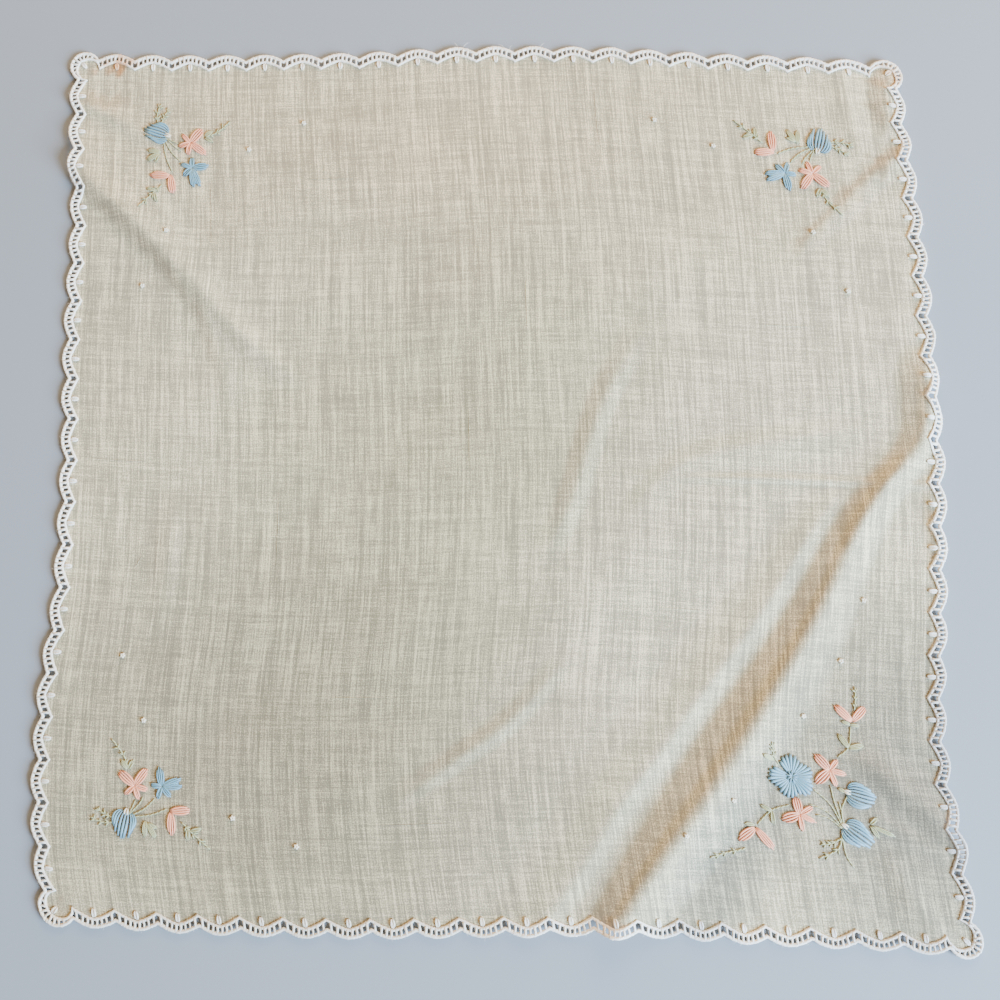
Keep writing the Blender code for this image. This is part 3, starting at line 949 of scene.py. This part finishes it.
def stem(points, strand):
    """A stem-stitched line: short slanting stitches that overlap along a smooth path."""
    last = len(points) - 1
    rows = np.column_stack((np.arange(last + 1), np.array(points, float)))
    path = smooth_through(rows, np.linspace(0, last, STEM_SAMPLES * last + 1))
    steps = np.linalg.norm(np.diff(path, axis=0), axis=1)
    run = np.concatenate(((0,), np.cumsum(steps)))
    count = max(1, round(run[-1] / STEM_STITCH))
    for i in range(count):
        span = np.clip(np.array((i - 0.3, i + 0.5, i + 1.35)) / count * run[-1], 0, run[-1])
        flat = np.column_stack([np.interp(span, run, path[:, axis]) for axis in (0, 1)])
        ahead = flat[-1] - flat[0]
        aside = np.array((-ahead[1], ahead[0])) / max(np.linalg.norm(ahead), 1e-6)
        flat = flat + np.outer((-0.5, 0, 0.5), aside) * strand * UNEVEN.uniform(0.6, 1.5)
        yield short_stitch(flat, strand, (0.2, 1.1, 0.2), (0.7, 1.05, 0.7))


def fern(points, strand):
    """A sprig: a stem with short stitches to both sides, not quite evenly set."""
    yield from stem(points, strand)
    path = np.array(points, float)
    rows = np.column_stack((np.arange(len(path)), path))
    for i in range(SPRIG_PAIRS):
        at = np.array((0.45, 0.5)) + i * (len(path) - 1.4) / SPRIG_PAIRS
        here, ahead = smooth_through(rows, at + UNEVEN.uniform(-0.08, 0.08))
        heading = math.degrees(math.atan2(*(ahead - here)[::-1]))
        for side in (-1, 1):
            way = heading_axes(heading + side * SPRIG_LEAN * UNEVEN.uniform(0.7, 1.3))[0]
            tip = here + way * SPRIG_STITCH * UNEVEN.uniform(0.6, 1.1)
            flat = np.array((here, (here + tip) / 2, tip))
            yield short_stitch(flat, strand, (0.4, 1.2, 0.3), (0.8, 1.05, 0.75))


def flower(u, v, *around):
    """The petals that leave one place."""
    return [(u, v, *petal) for petal in around]


# The small spray, worked in three corners: drawn for the bottom left one. A flower is
# its middle, then heading, length, width and number of stitches of each petal
SMALL_PINK = (
    *flower(-111.2, -100.8, (140, 7, 3.6, 4), (53, 7, 3.2, 4), (-137, 4.4, 2, 3)),
    *flower(-111.2, -100.8, (-71, 4.5, 2.2, 3), (-15, 4.6, 2.3, 3)),
    (-99.5, -108.2, 5, 6.6, 3.2, 4), (-99.3, -108.6, -91, 7, 3.3, 4),
)
SMALL_BLUE = (
    *flower(-102.2, -100.6, (98, 6.2, 3.1, 4), (22, 6.9, 2.7, 4), (3, 6.6, 2.7, 4)),
    *flower(-102.2, -100.6, (176, 3.9, 2.1, 3), (-111, 4.3, 2, 3), (-48, 4.5, 2.4, 3)),
)
# Fan buds: foot, heading, length, spread in degrees to either side, number of stitches
SMALL_FANS = ((-113.9, -108.8, -106, 8.8, 34, 9),)
SMALL_STEMS = (
    ((-113.5, -110.2), (-111.9, -107.4), (-110.9, -105.2)),
    ((-113.2, -110.4), (-108.1, -107.9), (-104.5, -104.6)),
    ((-113, -110.6), (-106.2, -109.7), (-100.6, -107.6)),
    ((-113.4, -110), (-109.5, -106.2), (-108.4, -104.2)),
)
SMALL_FERNS = (
    ((-113.4, -95.3), (-115, -91.4), (-119.2, -86.4)),
    ((-118.1, -111.1), (-121.1, -110.1), (-123.8, -108.1)),
    ((-118.2, -112.4), (-122.1, -112.6), (-125.8, -111)),
    ((-96.1, -111.3), (-92.7, -114.6), (-87.3, -119.4)),
)
SMALL_LEAVES = (
    (-113.6, -95.6, 128, 3.6, 1.9, 4), (-113.2, -95.6, 62, 3.2, 1.7, 3),
    (-107.8, -111.6, -98, 4.8, 2, 4), (-107.2, -112, -62, 5.4, 2, 4), (-106.9, -112.2, -28, 3, 1.5, 3),
    (-94, -113.4, -96, 3.6, 1.7, 3), (-93.2, -114, 12, 3.8, 1.5, 3),
)
SMALL_DOTS = ((-118.4, -60.5), (-108.9, -80.2), (-79.4, -109.6), (-60, -117.8))
# Degrees from the bottom left corner to the top left and the top right one
CORNER_TURNS = (0, -90, -180)

# The large spray in the bottom right corner
LARGE_PINK = (
    *flower(107.7, -91.9, (128, 6.2, 3.5, 4), (-137, 6.4, 3.7, 4), (51, 4.3, 2.1, 3)),
    *flower(107.7, -91.9, (-14, 5.2, 2.3, 3), (-75, 5.3, 2.1, 3)),
    *flower(96.6, -106, (94, 5.4, 3.3, 4), (-161, 6, 3.7, 4), (30, 4.9, 2.2, 3)),
    *flower(96.6, -106, (-27, 5, 2.1, 3), (-89, 5.3, 2, 3)),
    (115.7, -76.3, 137, 7, 3, 4), (116, -76.3, 49, 6.2, 3.1, 4), (82.3, -110.7, -145, 6.8, 3.4, 4),
    (82.7, -110.7, -54, 7.6, 3, 4),
)
LARGE_FANS = ((111.9, -98.4, -16, 9.4, 32, 9), (109.4, -108.8, -37, 9.4, 33, 9))
# The open flower: middle, then heading, reach and half spread in degrees of each lobe
BLUE_FLOWER = (95.9, -94.3)
BLUE_LOBES = ((180, 7.3, 33), (93, 7, 36), (20, 6.5, 34), (-42, 7.2, 33), (-113, 6.9, 34))
LOBE_STITCHES = 6
LARGE_STEMS = (
    ((109.1, -109.8), (106.3, -102.6), (101.8, -97.9)),
    ((109.1, -109.4), (107.7, -102), (107.3, -96.6)), ((109.3, -109.4), (109.5, -104), (111.9, -99.6)),
    ((108.9, -109.8), (105, -104.9), (99.9, -102.6)), ((108.7, -110), (105.3, -106.9), (101.4, -105.8)),
    ((108.2, -112.5), (108.5, -118), (110.2, -121.4)), ((115.4, -78), (114.2, -84.4), (110.5, -87.8)),
    ((83.3, -109.6), (88.3, -105.1), (94.1, -103.2)), ((92.6, -91), (90.9, -87.8), (90.6, -84.2)),
    ((109.2, -107.4), (109.3, -105), (109, -101.5)),
)
LARGE_FERNS = (
    ((116.6, -73), (117, -69.4), (116.8, -65.4)), ((108.6, -110.6), (106.4, -116), (100.2, -119)),
    ((107.3, -113.1), (104.2, -114.5), (101.2, -114.8)), ((78.6, -117), (72, -118.7), (66.7, -120.3)),
    ((91.3, -89.1), (90.8, -86.6), (90.5, -83.5)),
)
LARGE_LEAVES = (
    (114.2, -84.6, 124, 4.9, 2, 4), (114.1, -84.7, 13, 4.9, 2.1, 4), (88.4, -105.2, 153, 3.8, 1.7, 3),
    (88.4, -105.2, -92, 4.2, 1.7, 3), (90.9, -89.3, 152, 4, 1.9, 4), (117.3, -108.6, -62, 4.2, 1.8, 3),
    (117.6, -108.6, -23, 7, 1.7, 3), (117.2, -108, 42, 3, 1.5, 3), (115.2, -77.4, 160, 2.9, 1.3, 3),
    (115.2, -77.4, -6, 3, 1.3, 3), (82.4, -109.7, 175, 3.2, 1.4, 3), (111.5, -98.6, 150, 2.4, 1.5, 3),
)
LARGE_DOTS = ((118.9, -38.1), (112.3, -57.6), (101, -75.4), (76.7, -102.3), (59.8, -113.7))


def spun(strands, degrees):
    """Stitches carried round the cloth's middle."""
    turn = np.array(Matrix.Rotation(math.radians(degrees), 2))
    for points, radii in strands:
        yield np.column_stack((points[:, :2] @ turn.T, points[:, 2])), radii


def worked(stitch, rows, strand):
    """All stitches of a table of petals or fan buds."""
    for u, v, *row in rows:
        yield from stitch((u, v), *row, strand)


def sewn_along(stitch, paths, strand):
    """All stitches of a table of stems or sprigs."""
    for path in paths:
        yield from stitch(path, strand)


# Leaves and stems take a finer strand, by this share. That of the sprigs is in millimetres
FINE_SHARE = 0.75
FERN_STRAND = 0.27
DOT_STITCHES = 5
DOT_RADIUS = 0.8
# The cap of a fan bud, in millimetres but for its strand, which is a share
CAP_LENGTH = 2.3
CAP_WIDTH = 1.8
CAP_STRAND = 0.8
CAP_CROWN = 0.5
CAP_BEHIND = 0.9


def dots(rows, strand):
    """Small seeding dots: short stitches that radiate from the same place."""
    for u, v in rows:
        turn = UNEVEN.uniform(0, 360)
        for i in range(DOT_STITCHES):
            out = heading_axes(turn + i * 360 / DOT_STITCHES + UNEVEN.uniform(-10, 10))[0]
            flat = np.array((u, v)) + np.outer((0.12, 0.55 * DOT_RADIUS, DOT_RADIUS), out)
            yield short_stitch(flat, strand, (0.6, 1.1, 0.3), (1.3, 1.4, 1))


def caps(rows, strand):
    """The pale cap at the foot of each fan bud."""
    for u, v, heading, *_ in rows:
        foot = np.array((u, v)) - CAP_BEHIND * heading_axes(heading)[0]
        yield from satin(foot, heading, CAP_LENGTH, CAP_WIDTH, 3, strand * CAP_STRAND, CAP_CROWN)


class HANDKERCHIEF_OT_embroidery(bpy.types.Operator):
    """Work the four corner sprays and the seeding dots"""

    bl_idname = "handkerchief.embroidery"
    bl_label = "Work the embroidery"

    def execute(self, context):
        strand = context.scene.handkerchief_sizes.strand
        fine = strand * FINE_SHARE
        pieces = {
            "blue_petals": (
                [*worked(satin, SMALL_BLUE, strand), *worked(fan, SMALL_FANS, strand)],
                [
                    *blossom(BLUE_FLOWER, BLUE_LOBES, LOBE_STITCHES, strand),
                    *worked(fan, LARGE_FANS, strand),
                ],
                "blue_cotton",
            ),
            "pink_petals": (
                [*worked(satin, SMALL_PINK, strand)],
                [*worked(satin, LARGE_PINK, strand)],
                "pink_cotton",
            ),
            "olive_stems": (
                [
                    *worked(satin, SMALL_LEAVES, fine),
                    *sewn_along(stem, SMALL_STEMS, fine),
                    *sewn_along(fern, SMALL_FERNS, FERN_STRAND),
                ],
                [
                    *worked(satin, LARGE_LEAVES, fine),
                    *sewn_along(stem, LARGE_STEMS, fine),
                    *sewn_along(fern, LARGE_FERNS, FERN_STRAND),
                ],
                "olive_cotton",
            ),
            "cream_dots_and_caps": (
                [*dots(SMALL_DOTS, strand), *caps(SMALL_FANS, strand)],
                [*dots(LARGE_DOTS, strand), *caps(LARGE_FANS, strand)],
                "cream_cotton",
            ),
        }
        for name, (small, large, coat) in pieces.items():
            strands = large
            for degrees in CORNER_TURNS:
                strands.extend(spun(small, degrees))
            dress(name, thread_mesh(name, strands), coat, "cotton_edging")
        return {"FINISHED"}


LANCET_LENGTH = 2.7
LANCET_WIDTH = 1.75
LANCET_STITCHES = 3
LANCET_CROWN = 0.2


class HANDKERCHIEF_OT_lancets(bpy.types.Operator):
    """Work the white lancet stitch that points inwards at each scallop"""

    bl_idname = "handkerchief.lancets"
    bl_label = "Work the lancet stitches"

    def execute(self, context):
        strands = []
        for side in SIDES:
            for scallop in range(SCALLOPS):
                foot = np.array(side_scallop(scallop, 0.5)[1])
                strands.extend(self.lancet(foot, np.array((0, -1)), side))
            inwards = np.array((-1, -1)) / math.sqrt(2)
            strands.extend(self.lancet(np.array(corner_lobe(0.5)[1]), inwards, side))
        mesh = thread_mesh("lancet_stitches", strands)
        dress("lancet_stitches", mesh, "white_cotton", "cotton_edging")
        return {"FINISHED"}

    def lancet(self, foot, way, side):
        """One lancet: a narrow leaf of three stitches, worked from its inner point to the cord."""
        point = turned(*(foot + way * LANCET_LENGTH), side)
        back = turned(*-way, side)
        heading = math.degrees(math.atan2(back[1], back[0]))
        strand = bpy.context.scene.handkerchief_sizes.strand
        size = (LANCET_LENGTH, LANCET_WIDTH, LANCET_STITCHES)
        return satin(point, heading, *size, strand, LANCET_CROWN)


# Loose fibres that stand out of the outer cord: side, place along it in pitches,
# length, lean in degrees
FIBRES = (
    ("top", 0.35, 3.6, 32), ("top", 0.45, 3.0, -24), ("top", -0.75, 3.4, -38), ("top", -0.85, 2.4, 20),
    ("top", -1.65, 2.6, 28), ("bottom", -0.45, 1.8, 12), ("right", 6.3, 2.0, -30),
    ("left", 2.6, 1.6, 18),
)
# Radius in millimetres and number of points of a loose fibre and of a short one of the fuzz
FIBRE = (0.06, 7)
FUZZ = (0.04, 3)
FUZZ_PER_SIDE = 120
FUZZ_LENGTH = (0.6, 1.3)
FUZZ_LEAN = 60
FIBRE_LIFT = 0.4


class HANDKERCHIEF_OT_fibres(bpy.types.Operator):
    """Raise the fuzz of the outer cord and pull a few loose fibres out of it"""

    bl_idname = "handkerchief.fibres"
    bl_label = "Raise fuzz and loose fibres"

    def execute(self, context):
        height = context.scene.handkerchief_sizes.outer_cord
        strands = [self.fibre(*row, height, *FIBRE) for row in FIBRES]
        for side in SIDES:
            for place in UNEVEN.uniform(-SCALLOPS / 2, SCALLOPS / 2, FUZZ_PER_SIDE):
                length = UNEVEN.uniform(*FUZZ_LENGTH)
                lean = UNEVEN.uniform(-FUZZ_LEAN, FUZZ_LEAN)
                strands.append(self.fibre(side, place, length, lean, height, *FUZZ))
        mesh = thread_mesh("loose_fibres", strands, 0)
        dress("loose_fibres", mesh, "white_cotton", "cotton_edging")
        return {"FINISHED"}

    def fibre(self, side, place, length, lean, height, radius, points):
        """One fibre that leaves the outer cord and bends as it goes."""
        scallop, t = divmod(place + SCALLOPS / 2, 1)
        foot = np.array(side_scallop(int(scallop), t)[0])
        s = np.linspace(0, 1, points)
        angle = math.radians(90) + math.radians(lean) * (1 + s)
        way = np.column_stack((np.cos(angle), np.sin(angle)))
        flat = foot - (0, 0.3) + np.cumsum(way, axis=0) * length / points
        rise = height + FIBRE_LIFT * np.sin(math.pi * s)
        return np.column_stack((turned(*flat.T, side), rise)), radius * (1.1 - s)


# Slubs, thicker lengths of thread in the weave: place, half length, heading
SLUBS = (
    (-94.2, 85.6, 10.5, 90), (-39.3, -72, 9.5, 0), (-24.6, -111.4, 12.5, 0),
    (-124.8, 0.7, 10, 0), (-116.5, -31.2, 2.2, 60), (12, 52, 9, 90),
    (40, 118, 11, 90), (-52, 98, 8, 0), (62, -44, 8, 0),
    (-70, -20, 12, 90), (98, 48, 9, 0), (-8, 8, 10, 90),
)
SLUB_RADIUS = 0.13
SLUB_POINTS = 25


class HANDKERCHIEF_OT_slubs(bpy.types.Operator):
    """Lay the slubs, the thick places of single threads, into the weave"""

    bl_idname = "handkerchief.slubs"
    bl_label = "Lay the slubs"

    def execute(self, context):
        strands = []
        s = np.linspace(-1, 1, SLUB_POINTS)
        for u, v, half, heading in SLUBS:
            flat = np.array((u, v)) + np.outer(s * half, heading_axes(heading)[0])
            radii = SLUB_RADIUS * (1 - s**2) ** 0.5 * UNEVEN.uniform(0.7, 1.2, len(s)) + 0.01
            strands.append((np.column_stack((flat, np.full(len(s), top_of_lawn()))), radii))
        dress("slubs", thread_mesh("slubs", strands), "greyed_linen", "linen_lawn")
        return {"FINISHED"}


class HANDKERCHIEF_OT_materials(bpy.types.Operator):
    """Make the finishes of the lawn and its threads"""

    bl_idname = "handkerchief.materials"
    bl_label = "Make the finishes"

    def execute(self, context):
        colours = context.scene.handkerchief_colours
        greyed_linen(colours)
        white_cotton(colours)
        stranded_cotton("blue_cotton", colours.blue, colours.blue_shade)
        stranded_cotton("pink_cotton", colours.pink, colours.pink_shade)
        stranded_cotton("olive_cotton", colours.green, colours.green_shade)
        # The cream dots take the edging's painted shade on their sides
        stranded_cotton("cream_cotton", colours.cream, colours.edging_shade_and_fibres)
        return {"FINISHED"}


# The camera stands almost over the cloth: metres, and degrees about its own axes
CAMERA_PLACE = (0.0131, -0.0637, 0.3521)
CAMERA_TILT = 8.88
CAMERA_YAW = 10.60
CAMERA_ROLL = -10.84
CAMERA_LENS = 39.6
SENSOR = 36

# Lights: place in metres, width, power in watts, colour
LIGHTS = {
    "window": ((0.95, -0.59, 0.55), 0.65, 102.0, "bddaf9"),
    "room": ((0.35, 1.0, 0.45), 0.8, 25.0, "ffdab0"),
}
AIR_TONE = "ffdab0"
AIR_STRENGTH = 0.67
FLOOR_HALF = 1.5
FLOOR_TONE = "8a939b"


class HANDKERCHIEF_OT_stage(bpy.types.Operator):
    """Set the pale floor, the soft lights and the camera"""

    bl_idname = "handkerchief.stage"
    bl_label = "Set the stage"

    def execute(self, context):
        scene = context.scene
        work = bmesh.new()
        bmesh.ops.create_grid(work, x_segments=1, y_segments=1, size=FLOOR_HALF)
        mesh = bpy.data.meshes.new("floor")
        work.to_mesh(mesh)
        work.free()
        new_material("plain_floor", Roughness=0.9, Base_Color=(*linear(FLOOR_TONE), 1.0))
        mesh.materials.append(bpy.data.materials["plain_floor"])
        placed("floor", mesh)
        for name, (place, width, power, code) in LIGHTS.items():
            light = bpy.data.lights.new(name, "AREA")
            light.size = width
            light.energy = power
            light.color = linear(code)
            aim = Vector(place).to_track_quat("Z", "Y")
            placed(name, light).matrix_world = Matrix.Translation(place) @ aim.to_matrix().to_4x4()
        world = bpy.data.worlds.new("room_air")
        world.use_nodes = True
        air = world.node_tree.nodes["Background"]
        air.inputs["Color"].default_value = (*linear(AIR_TONE), 1.0)
        air.inputs["Strength"].default_value = AIR_STRENGTH
        scene.world = world
        seen = bpy.data.cameras.new("camera")
        seen.lens = CAMERA_LENS
        seen.sensor_width = SENSOR
        camera = placed("camera", seen)
        turn = Matrix.Rotation(math.radians(CAMERA_YAW), 4, "Z")
        turn = turn @ Matrix.Rotation(math.radians(CAMERA_TILT), 4, "X")
        turn = turn @ Matrix.Rotation(math.radians(CAMERA_ROLL), 4, "Z")
        camera.matrix_world = Matrix.Translation(CAMERA_PLACE) @ turn
        scene.camera = camera
        return {"FINISHED"}


STEPS = (
    ("materials", HANDKERCHIEF_OT_materials),
    ("lawn", HANDKERCHIEF_OT_lawn),
    ("edging", HANDKERCHIEF_OT_edging),
    ("lancets", HANDKERCHIEF_OT_lancets),
    ("embroidery", HANDKERCHIEF_OT_embroidery),
    ("fibres", HANDKERCHIEF_OT_fibres),
    ("slubs", HANDKERCHIEF_OT_slubs),
    ("stage", HANDKERCHIEF_OT_stage),
)


class HANDKERCHIEF_PT_panel(bpy.types.Panel):
    """Lists the steps, sizes and colours"""

    bl_label = "Handkerchief"
    bl_idname = "HANDKERCHIEF_PT_panel"
    bl_space_type = "VIEW_3D"
    bl_region_type = "UI"
    bl_category = "Handkerchief"

    def draw(self, context):
        for name, _ in STEPS:
            self.layout.operator("handkerchief." + name)
        for group in (context.scene.handkerchief_sizes, context.scene.handkerchief_colours):
            box = self.layout.box()
            for key in group.__annotations__:
                box.prop(group, key)


CLASSES = (
    HandkerchiefSizes,
    HandkerchiefColours,
    *(operator for _, operator in STEPS),
    HANDKERCHIEF_PT_panel,
)


def register():
    for made in CLASSES:
        bpy.utils.register_class(made)
    bpy.types.Scene.handkerchief_sizes = PointerProperty(type=HandkerchiefSizes)
    bpy.types.Scene.handkerchief_colours = PointerProperty(type=HandkerchiefColours)


def unregister():
    del bpy.types.Scene.handkerchief_colours
    del bpy.types.Scene.handkerchief_sizes
    for made in reversed(CLASSES):
        bpy.utils.unregister_class(made)


def main():
    register()
    for name, _ in STEPS:
        getattr(bpy.ops.handkerchief, name)()
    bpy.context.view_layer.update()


if __name__ == "__main__":
    main()
